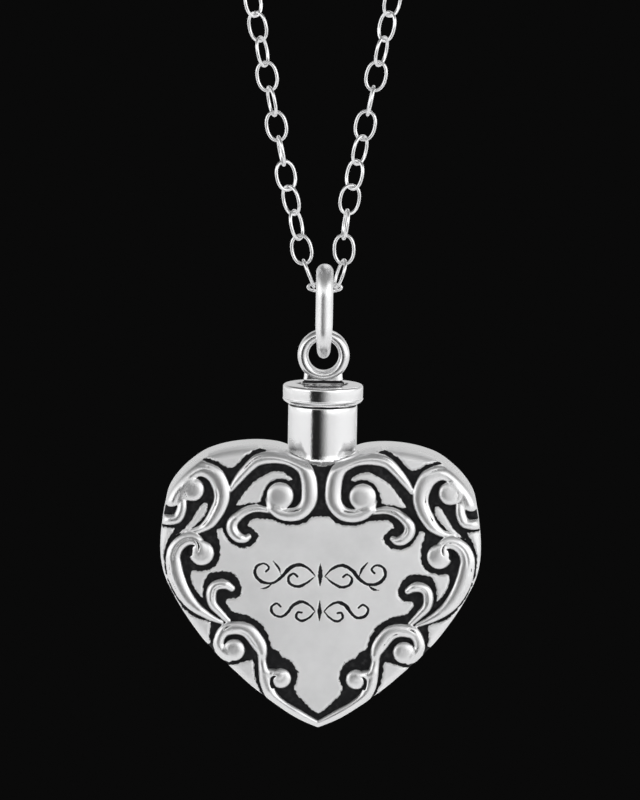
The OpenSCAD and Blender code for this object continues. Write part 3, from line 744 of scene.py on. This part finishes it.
# Rings of half the cavity. Columns: share of its outline, degrees round its rounded rim
CAVITY_RINGS = ((0.5, 90), (0.98, 90), (1, 45), (1, 0))
AXIS_R = 0.02  # the ends of a turned profile stop this close to its axis
NECK_ROOT = 1.2  # how deep the neck goes into the heart
FILLET_W = 0.3
FILLET_H = 0.9
FILLET_LOW = 0.35
FILLET_POWER = 2.4
BORE_ROOT = 2.5
DOUBLED = 1e-4  # points closer than this are one
FRONT_Y = -1.95  # blackening lies in front of this only
NECK_LOW = 0.2
NECK_CLEAR = 0.35
PLAIN_SATIN = -0.42  # the neck, the sides and the back are polished brighter


def front_fields(edge):
    """Places on a grid over the front, and the height, distance in from the outline, blackness
    and satin there."""
    right = np.arange(math.ceil(HALF_W / GRID) + 1) * GRID
    rows = np.arange(math.ceil(GRID_TOP / GRID) + 1) * GRID
    x, z = np.meshgrid(right, rows)
    half = [*relief(x, z), -edge_distance(x, z, edge)]
    rise, raised, cut, satin, gap = [np.concatenate([part[:, :0:-1], part], 1) for part in half]
    x, z = np.meshgrid(np.concatenate([-right[:0:-1], right]), rows)
    height = ground_y(x, z) + rise - edge_drop(gap)
    hollow = blur(rise, HOLLOW_REACH) - rise
    tarnish_and_shade = (1 - raised) + CUT_DARK * cut
    tarnish_and_shade = np.maximum(tarnish_and_shade, smooth_step(*HOLLOW_DEPTH, hollow) * HOLLOW_DARK)
    tarnish_and_shade = np.clip(tarnish_and_shade, 0, 1) * smooth_step(*RUBBED_RIM, gap)
    return x, z, height, gap, tarnish_and_shade, satin


def blur(values, reach):
    """The mean over the square of points that reaches this far each way."""
    for axis in (0, 1):
        padded = np.pad(values, [(reach, reach) if k == axis else (0, 0) for k in (0, 1)], "edge")
        total = sum(np.roll(padded, k, axis) for k in range(-reach, reach + 1)) / (2 * reach + 1)
        values = total[reach:-reach] if axis == 0 else total[:, reach:-reach]
    return values


def boundary_loop(quads):
    """The closed walk round the outside of a patch of faces."""
    sides = {side for quad in quads for side in zip(quad, quad[1:] + quad[:1])}
    after = {a: b for a, b in sides if (b, a) not in sides}
    start = next(iter(after))
    walk = [start]
    while after[walk[-1]] != start:
        walk.append(after[walk[-1]])
    return walk


def unit(ways):
    """Ways of length 1."""
    return ways / np.linalg.norm(ways, axis=1)[:, None]


def rim_points(walk, edge):
    """The outline's nearest point to each point of a walk, and the way in from it."""
    ring = np.concatenate([edge, edge[:1]])
    place = near_line(*walk.T, edge, closed=True)[1]
    rows = np.arange(len(ring))
    foot = np.stack([np.interp(place, rows, ring[:, k]) for k in (0, 1)], 1)
    on_axis = np.abs(walk[:, 0]) < GRID / 4
    foot[on_axis, 0] = 0
    foot[on_axis & (walk[:, 1] < HEART_H / 2), 1] = 0
    foot[on_axis & (walk[:, 1] > HEART_H / 2), 1] = CLEFT_Z
    # At the tip the ways in would cross, so there they all make for one place on the axis
    share = smooth_step(0.5 * TIP_FAN, TIP_FAN, foot[:, 1])[:, None]
    return foot, unit(share * unit(walk - foot) + (1 - share) * unit((0, TIP_FAN) - foot))


def heart_skin():
    """Closed mesh of the heart, and where its grid starts at the left, its blackness and satin."""
    edge = outline(8)
    x, z, height, gap, tarnish_and_shade, satin = front_fields(edge)
    count = x.shape[1]
    middle = (gap[:-1, :-1] + gap[1:, 1:] + gap[1:, :-1] + gap[:-1, 1:]) / 4
    row, column = np.nonzero(middle > FIRST_GAP)
    first = row * count + column
    quads = np.stack([first, first + 1, first + count + 1, first + count], 1)
    used, packed = np.unique(quads, return_inverse=True)
    quads = packed.reshape(quads.shape)
    points = columns(x.ravel()[used], -height.ravel()[used], z.ravel()[used])
    faces = [tuple(q) for q in quads.tolist()]
    walk = np.array(boundary_loop(faces))
    foot, way = rim_points(points[walk][:, (0, 2)], edge)

    def ring_at(inward, side):
        flat = foot + way * inward
        rise = relief(np.abs(flat[:, 0]), flat[:, 1])[0] if side < 0 else 0
        depth = ground_y(*flat.T) + rise - edge_drop(inward)
        return columns(flat[:, 0], side * depth, flat[:, 1])

    points[walk] = ring_at(FIRST_GAP, -1)
    rings = [ring_at(g, -1) for g in RIM_GAPS]
    front_edge, back_edge = rings[-1], ring_at(0, 1)
    rings += [front_edge + (back_edge - front_edge) * share for share in BAND_SHARES]
    rings += [ring_at(g, 1) for g in BACK_GAPS]
    before = walk
    for ring_points in rings:
        now = np.arange(len(points), len(points) + len(ring_points))
        points = np.concatenate([points, ring_points])
        faces += zip(np.roll(before, -1), before, now, np.roll(now, -1))
        before = now
    points = close_back(points, faces, before, edge)
    return points, facing_out(points, faces), (x[0, 0], tarnish_and_shade, satin)


def close_back(points, faces, rim, edge):
    """Adds the faces of the back, one smooth dome inside a ring of points, and its new points."""
    border = points[rim][:, (0, 2)]
    x, z = np.meshgrid(np.arange(-HALF_W, HALF_W, BACK_GRID), np.arange(0, HEART_H, BACK_GRID))
    deep = edge_distance(x, z, edge) < -BACK_GAPS[-1] - BACK_GRID / 2
    flat = np.concatenate([border, columns(x[deep], z[deep])])
    made = delaunay_2d_cdt([Vector(p) for p in flat], [], [list(range(len(border)))], 1, 1e-7)
    flat = np.array([tuple(p) for p in made[0]])
    place = []
    for number, sources in enumerate(made[3]):
        own = [s for s in sources if s < len(border)]
        if own:
            place.append(int(rim[own[0]]))
            continue
        x, z = flat[number]
        place.append(len(points))
        points = np.concatenate([points, [(x, ground_y(x, z), z)]])
    faces += [(place[a], place[c], place[b]) for a, b, c in made[2]]
    return points


def cavity():
    """The hollow inside: the heart drawn in by its wall."""
    edge = outline(2)
    rings = []
    for share, angle in CAVITY_RINGS:
        turn = math.radians(angle)
        rim = 1 - SHELL_T / HALF_W - EDGE_R * (1 - math.cos(turn)) / HALF_W
        flat = (edge - (0, MIDDLE_Z)) * rim * share + (0, MIDDLE_Z)
        depth = ground_y(*flat.T) - SHELL_T - EDGE_R * (1 - math.sin(turn))
        rings.append(columns(flat[:, 0], -depth, flat[:, 1]))
    return tube(np.array(rings + [ring_points * (1, -1, 1) for ring_points in rings[::-1]]))


def neck_profile():
    """The neck, with a fillet at its foot and a rounded rim under the cap."""
    r = NECK_D / 2
    root = CLEFT_Z - NECK_ROOT
    fillet = [(r + FILLET_W * (1 - t) ** FILLET_POWER, CLEFT_Z - FILLET_LOW + FILLET_H * t)
              for t in np.linspace(0, 1, 9)]
    rim = round_corner((r, SEAM_Z - 0.3), (r, SEAM_Z), (BORE_D / 2, SEAM_Z), 0.07, 4)
    return [(r + FILLET_W, root), *fillet, (r, SEAM_Z - 0.5), *rim, (AXIS_R, SEAM_Z),
            (AXIS_R, root)]


def solid(name, points, faces):
    mesh = bpy.data.meshes.new(name)
    mesh.from_pydata(np.asarray(points, float).tolist(), [], [tuple(map(int, f)) for f in faces])
    mesh.update()
    return add_object(name, mesh)


def combine(base, other, operation):
    """Unites another solid with the base, or cuts it out, and clears the other away."""
    change = base.modifiers.new(operation, "BOOLEAN")
    change.object = other
    change.operation = operation
    change.solver = "MANIFOLD"
    shapes = bpy.context.evaluated_depsgraph_get()
    made = bpy.data.meshes.new_from_object(base.evaluated_get(shapes))
    base.modifiers.clear()
    old = base.data
    base.data = made
    bpy.data.meshes.remove(old)
    bpy.data.objects.remove(other)


def build_heart():
    points, faces, (left, tarnish_and_shade, satin) = heart_skin()
    base = solid("heart_base", points, faces)
    combine(base, solid("neck", *lathe(neck_profile(), 96)), "UNION")
    combine(base, solid("cavity", *cavity()), "DIFFERENCE")
    bore = [(BORE_D / 2, CLEFT_Z - BORE_ROOT), (BORE_D / 2, SEAM_Z + 1)]
    combine(base, solid("bore", *lathe(bore, 72)), "DIFFERENCE")
    mesh = base.data
    # The cuts leave a few doubled points, and faces without area between them
    welded = bmesh.new()
    welded.from_mesh(mesh)
    bmesh.ops.remove_doubles(welded, verts=welded.verts, dist=DOUBLED)
    welded.to_mesh(mesh)
    welded.free()
    spots = np.array([tuple(vertex.co) for vertex in mesh.vertices])
    x, y, z = spots.T
    # Places on the grid, short of its last row and column
    column = np.clip((x - left) / GRID, 0, tarnish_and_shade.shape[1] - 1.001)
    row = np.clip(z / GRID, 0, tarnish_and_shade.shape[0] - 1.001)
    i, j = row.astype(int), column.astype(int)
    u, v = row - i, column - j

    def sample(values):
        low = values[i, j] * (1 - v) + values[i, j + 1] * v
        high = values[i + 1, j] * (1 - v) + values[i + 1, j + 1] * v
        return low * (1 - u) + high * u

    on_neck = (z > CLEFT_Z - NECK_LOW) & (np.hypot(x, y) < NECK_D / 2 + NECK_CLEAR)
    shown = (y < FRONT_Y) & ~on_neck & (z < HEART_H + 0.01)
    add_piece("heart", spots, [tuple(f.vertices) for f in mesh.polygons],
              silver("urn_silver", 0.25, 0.5), "urn", "heart_silver", "heart_urn",
              np.where(shown, sample(tarnish_and_shade), 0), np.where(shown, sample(satin), PLAIN_SATIN))
    bpy.data.objects.remove(base)


# The cap

DISC_R = 2.52
DISC_TOP = SEAM_Z + 0.4 + 0.9
PLUG_L = 2.6
PLUG_R = 1.26
THREAD_PITCH = 0.5
THREAD_H = 0.16
THREAD_STEPS = 48  # to a turn
THREAD_ENDS = 3  # the ridge runs out over a turn divided by this
THREAD_LOW = 0.75  # pitches from the plug's foot to the ridge's first turn
# Section of the ridge. Columns: out in shares of its height, up in millimetres
THREAD_SECTION = [
    (-0.06, -0.19), (0, -0.17), (0.85, -0.05), (1, 0), (0.85, 0.05), (0, 0.17), (-0.06, 0.19),
]
EYELET_IN = 0.95
EYELET_OUT = 1.62
EYELET_T = 1.12
EYELET_POWER = 2 / 2.6
EYELET_Z = DISC_TOP + 0.2 + EYELET_OUT
PEDESTAL_POWER = 0.45
CAP_SATIN = 0.25  # over the disc


def cap_profile():
    """The plug, the seat on the neck and the disc."""
    seat = SEAM_Z + 0.05
    foot = SEAM_Z - PLUG_L
    wall = DISC_R - 0.03
    high = wall + 0.01
    return [
        (AXIS_R, foot), (PLUG_R - 0.15, foot), (PLUG_R, foot + 0.15), (PLUG_R, seat),
        (2.02, seat), (2.13, seat + 0.01), (2.18, seat + 0.04), (2.24, seat + 0.09),
        (2.35, seat + 0.15), (2.44, seat + 0.22), (2.49, seat + 0.29), (DISC_R, seat + 0.35),
        (wall + 0.02, seat + 0.38), (wall, seat + 0.4), (wall, seat + 0.44), (high, seat + 0.75),
        *round_corner((high, DISC_TOP - 0.3), (high, DISC_TOP), (wall - 0.4, DISC_TOP), 0.2, 7),
        (1.9, DISC_TOP + 0.005), (1.2, DISC_TOP + 0.01), (AXIS_R, DISC_TOP + 0.01),
    ]


def thread():
    """A ridge that winds round the plug and runs out at both ends."""
    turns = (PLUG_L - 2 * THREAD_PITCH) / THREAD_PITCH
    steps = int(turns * THREAD_STEPS)
    rings = []
    for k in range(steps + 1):
        share = k / steps
        a = 2 * math.pi * turns * share
        fade = min(1, share * turns * THREAD_ENDS, (1 - share) * turns * THREAD_ENDS)
        middle = SEAM_Z - PLUG_L + THREAD_LOW * THREAD_PITCH + THREAD_PITCH * turns * share
        section = []
        for out, rise in THREAD_SECTION:
            r = PLUG_R + THREAD_H * out * (fade if out > 0 else 1)
            section.append((r * math.cos(a), r * math.sin(a), middle + rise * max(fade, 0.3)))
        rings.append(section)
    return tube(np.array(rings))


def eyelet():
    """A flattened ring, its hole running front to back."""
    out, front = squarish(angles(28), EYELET_POWER)
    r = (EYELET_OUT + EYELET_IN) / 2 + (EYELET_OUT - EYELET_IN) / 2 * out
    y = EYELET_T / 2 * front
    rings = [columns(r * math.cos(a), y, EYELET_Z + r * math.sin(a)) for a in angles(96)]
    return tube(np.array(rings), closed=True)


# Columns: height above the disc, half width, half depth
PEDESTAL = [
    (-0.08, 1.42, 0.53), (0.03, 1.4, 0.52), (0.07, 1.34, 0.49), (0.13, 1.26, 0.46),
    (0.17, 1.2, 0.435), (0.21, 1.17, 0.42), (0.25, 1.2, 0.44), (0.31, 1.22, 0.455),
    (0.45, 1.2, 0.455), (0.6, 1.19, 0.45), (0.72, 1.17, 0.44),
]


def pedestal():
    wide, deep = squarish(angles(48), PEDESTAL_POWER)
    rings = [columns(half_w * wide, half_d * deep, DISC_TOP + height)
             for height, half_w, half_d in curve(PEDESTAL, 3)]
    return tube(np.array(rings))


def trace(height, middle, width):
    """A line of painted shade round a height, from 0 to 1."""
    return np.exp(-((height - middle) / width) ** 2)


def build_cap():
    points, faces = gather([lathe(cap_profile(), 112), thread(), eyelet(), pedestal()])
    x, y, z = points.T
    r = np.hypot(x, y)
    # Painted shade, laid as blackening, darkens the lip, the space under the disc, and the
    # pedestal's waist and foot
    lip = trace(z - SEAM_Z, 0.45, 0.02) * (r > 2.35)
    under = (z < SEAM_Z + 0.1) * (r > 1.6)
    waist = trace(z - DISC_TOP, 0.18, 0.09) * (np.abs(y) < 0.5) * (r < 1.4)
    foot = trace(z - DISC_TOP, 0.01, 0.03) * (np.abs(y) < 0.56) * (np.abs(x) < 1.5)
    add_piece("cap_and_eyelet", points, faces, silver("cap_silver", 0.13, 0.35),
              "cap", "cap_silver", "cap",
              np.clip(0.2 * lip + 0.5 * under + 0.9 * waist + 0.6 * foot, 0, 1),
              CAP_SATIN * smooth_step(DISC_TOP, DISC_TOP + 0.4, z))


# The bail

BAIL_H = 5.93
BAIL_D = 3.84
BAIL_WIRE = 1.1
BAIL_FOOT_W = 0.8  # width of the wire at the bail's foot
BAIL_SPREAD = 0.28  # what it gains
BAIL_TAPER = 2.4  # over this height
BAIL_POWER = 2 / 2.1
PLAY = 0.05  # space between the wires where one hangs in another
BAIL_FOOT_Z = EYELET_Z + EYELET_IN - PLAY - BAIL_WIRE
BAIL_TOP_Z = BAIL_FOOT_Z + BAIL_H
BAIL_LINK_Z = BAIL_TOP_Z - BAIL_WIRE - PLAY - 0.32  # where the chain's link goes through it


def bail_route(steps=28, straight=8):
    """Middle line of the bail in the YZ plane: place, and the way out from the ring's middle."""
    r = (BAIL_D - BAIL_WIRE) / 2
    high, low = BAIL_TOP_Z - BAIL_D / 2, BAIL_FOOT_Z + BAIL_D / 2
    stops = []
    for start, side, here, there in ((0, -1, high, low), (math.pi, 1, low, high)):
        for a in np.linspace(start, start + math.pi, steps):
            stops.append((r * math.cos(a), here + r * math.sin(a), math.cos(a), math.sin(a)))
        stops += [(side * r, z, side, 0) for z in np.linspace(here, there, straight)[1:-1]]
    return stops


def build_bail():
    b = angles(48)
    wide, deep = squarish(b, BAIL_POWER)
    rings = []
    for y, z, out_y, out_z in bail_route():
        half_w = (BAIL_FOOT_W + BAIL_SPREAD * smooth_step(0, BAIL_TAPER, z - BAIL_FOOT_Z)) / 2
        # Filed by hand, so that its wire is a little uneven
        filed = (0.994 + 0.003 * np.sin(7 * b + 0.5 * z + 0.9 * math.sin(1.7 * z))
                 + 0.002 * np.sin(11 * b - 0.8 * z + 2))
        out = filed * BAIL_WIRE / 2 * deep
        rings.append(columns(filed * half_w * wide, y + out_y * out, z + out_z * out))
    add_piece("bail_ring", *tube(np.array(rings), closed=True),
              silver("bail_silver", 0.33, 0.4), "bail", "bail_silver", "bail")


# The chain

LINK_PITCH = 1.585
LINK_WIRE = 0.2
LINK_HALF_L = 0.905  # from the link's middle to the middle of its end wire
LINK_HALF_W = 0.61
LINK_POWER = 0.9
LINK_PITCH_MOST = 1.59  # the links of the route are spread a little up to this
BAIL_LINK = (1.05, 0.26, 0.18)  # half length, half width and wire of the link in the bail
HOOK_X = 0.67  # where the end wires of the next two go through it
STRAND_TILT = 11.4
STRAND_X = 0.836
STRAND_Z = 28.06
STRAND_START = 0.9  # the route starts this far along from there
JOIN_RISE = 1.5  # and is followed from this far above the second joint
CLASP_WIRE = 1.1
CLASP_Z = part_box("clasp")[0].z / MM - TIP + CLASP_WIRE / 2
STRAND_STEPS = 160
NAPE_STEPS = 90
NAPE_R = 34.42
NAPE_Z = CLASP_Z - NAPE_R
EYE_HOOK_X = 3.55  # where the last link meets the clasp's eye
# The strands sway to the left above the bail. Columns: height above the strand's foot, sway
SWAY = [(0, -0.1), (2, -0.25), (6, -0.4), (18, -0.42), (32, -0.3), (60, 0)]
# The strands. Columns: side, lean of the lowest link, and roll of the links that the photo
# shows, from the bail up. Both are in degrees, and a link of roll 0 is face on.
STRANDS = [
    (-1, 22, [88, 6, -58, 40, -20, 80, 2, 71, 0, -62, 30, -40]),
    (1, 18, [74, 0, 80, -15, 40, -50, 10, 88, 5, -60, 42, -38]),
]
# The other links roll by turns to either side, and the last two are set by the clasp's eye
PLAIN_ROLL = 45
ROLL_SPREAD = 9
CLASP_ROLL = 75
ROLL_SEED = 7


def strand_route(side):
    """Points along one strand from the height of its second link to the clasp's eye."""
    tilt = math.radians(STRAND_TILT)
    length = (NAPE_R * math.cos(tilt) - STRAND_X) / math.sin(tilt)
    heights = np.linspace(STRAND_START, length, STRAND_STEPS)
    sway = np.interp(heights, *np.array(SWAY).T)
    line = [(side * (STRAND_X + d * math.sin(tilt)) + s, STRAND_Z + d * math.cos(tilt))
            for d, s in zip(heights, sway)]
    end = math.acos(EYE_HOOK_X / NAPE_R)
    for a in np.linspace(-tilt, end, NAPE_STEPS)[1:]:
        line.append((side * NAPE_R * math.cos(a), NAPE_Z + NAPE_R * math.sin(a)))
    return np.array(line)


def strand_joints(side, lean):
    """Where each link meets the next, from the middle link to the clasp."""
    turn = math.radians(lean)
    way = np.array((side * math.sin(turn), math.cos(turn)))
    first = np.array((side * HOOK_X, BAIL_LINK_Z)) + way * (LINK_HALF_L - LINK_PITCH / 2)
    second = first + LINK_PITCH * way
    route = strand_route(side)
    route = np.concatenate([[second], route[route[:, 1] > second[1] + JOIN_RISE]])
    steps = np.concatenate([[0], np.cumsum(np.linalg.norm(np.diff(route, axis=0), axis=1))])
    count = math.ceil(steps[-1] / LINK_PITCH_MOST)
    marks = np.linspace(0, steps[-1], count + 1)
    joints = np.stack([np.interp(marks, steps, route[:, k]) for k in (0, 1)], 1)
    return np.concatenate([[first], joints])


def link(middle, way, roll, half_l, half_w, wire, around=24, sides=8):
    """An oval link. Its long axis runs along the way, and roll 0 shows it face on."""
    along = np.array((way[0], 0, way[1])) / np.hypot(*way)
    face = np.array((-along[2], 0, along[0]))
    turn = math.radians(roll)
    across_way = face * math.cos(turn) + np.array((0, 1, 0)) * math.sin(turn)
    up_way = np.cross(along, across_way)
    b = angles(sides)
    rings = []
    for a in angles(around):
        # A stadium-like oval: straighter sides than an ellipse
        c, s = squarish(a, LINK_POWER)
        spot = np.array((middle[0], 0, middle[1])) + along * half_l * c + across_way * half_w * s
        out = along * math.cos(a) / half_l + across_way * math.sin(a) / half_w
        out /= np.linalg.norm(out)
        rings.append(spot + wire / 2 * (np.cos(b)[:, None] * out + np.sin(b)[:, None] * up_way))
    return tube(np.array(rings), closed=True)


def build_chain():
    random = np.random.default_rng(ROLL_SEED)
    links = [link((0, BAIL_LINK_Z), (1, 0), 0, *BAIL_LINK)]
    for side, lean, rolls in STRANDS:
        joints = strand_joints(side, lean)
        last = len(joints) - 2
        for k, (low, high) in enumerate(zip(joints, joints[1:])):
            if k < len(rolls):
                roll = rolls[k]
            elif k >= last - 1:
                roll = CLASP_ROLL * (last - k)
            else:
                roll = PLAIN_ROLL if (last - k) % 2 else -PLAIN_ROLL
                roll += random.uniform(-ROLL_SPREAD, ROLL_SPREAD)
            links.append(link((low + high) / 2, high - low, roll,
                              LINK_HALF_L, LINK_HALF_W, LINK_WIRE))
    add_piece("chain_links", *gather(links), silver("chain_silver", 0.12, 0.2),
              "necklace", "chain_silver", "chain")


# The clasp

CLASP_R = 2.2
EYE_X = 3.15
EYE_R = 0.6
EYE_WIRE = 0.4
# The thumb knob. Columns: radius, distance out from the ring's middle line
KNOB = [
    (AXIS_R, 0), (0.22, 0), (0.22, 0.62), (0.3, 0.68), (0.35, 0.8), (0.35, 1.05), (0.3, 1.18),
    (0.18, 1.25), (AXIS_R, 1.25),
]


def ring(x, radius, wire, steps, sides):
    """A ring that lies level at the clasp's height, its middle at a place on the X axis."""
    b = angles(sides)
    out = radius + wire / 2 * np.cos(b)
    height = CLASP_Z + wire / 2 * np.sin(b)
    rings = [columns(x + out * math.cos(a), out * math.sin(a), height) for a in angles(steps)]
    return tube(np.array(rings), closed=True)


def build_clasp():
    rings = [ring(0, CLASP_R, CLASP_WIRE, 96, 24)]
    rings += [ring(side * EYE_X, EYE_R, EYE_WIRE, 40, 14) for side in (-1, 1)]
    points, faces = lathe(KNOB, 32)
    x, y, z = points.T
    knob = columns(x, CLASP_R + z, CLASP_Z - y), faces
    add_piece("spring_ring", *gather([*rings, knob]), silver("clasp_silver", 0.14, 0.3),
              "necklace", "clasp_silver", "clasp")


bpy.context.scene.view_settings.view_transform = "Standard"
build_camera()
build_world()
build_stage()
build_lights()
build_heart()
build_cap()
build_bail()
build_chain()
build_clasp()
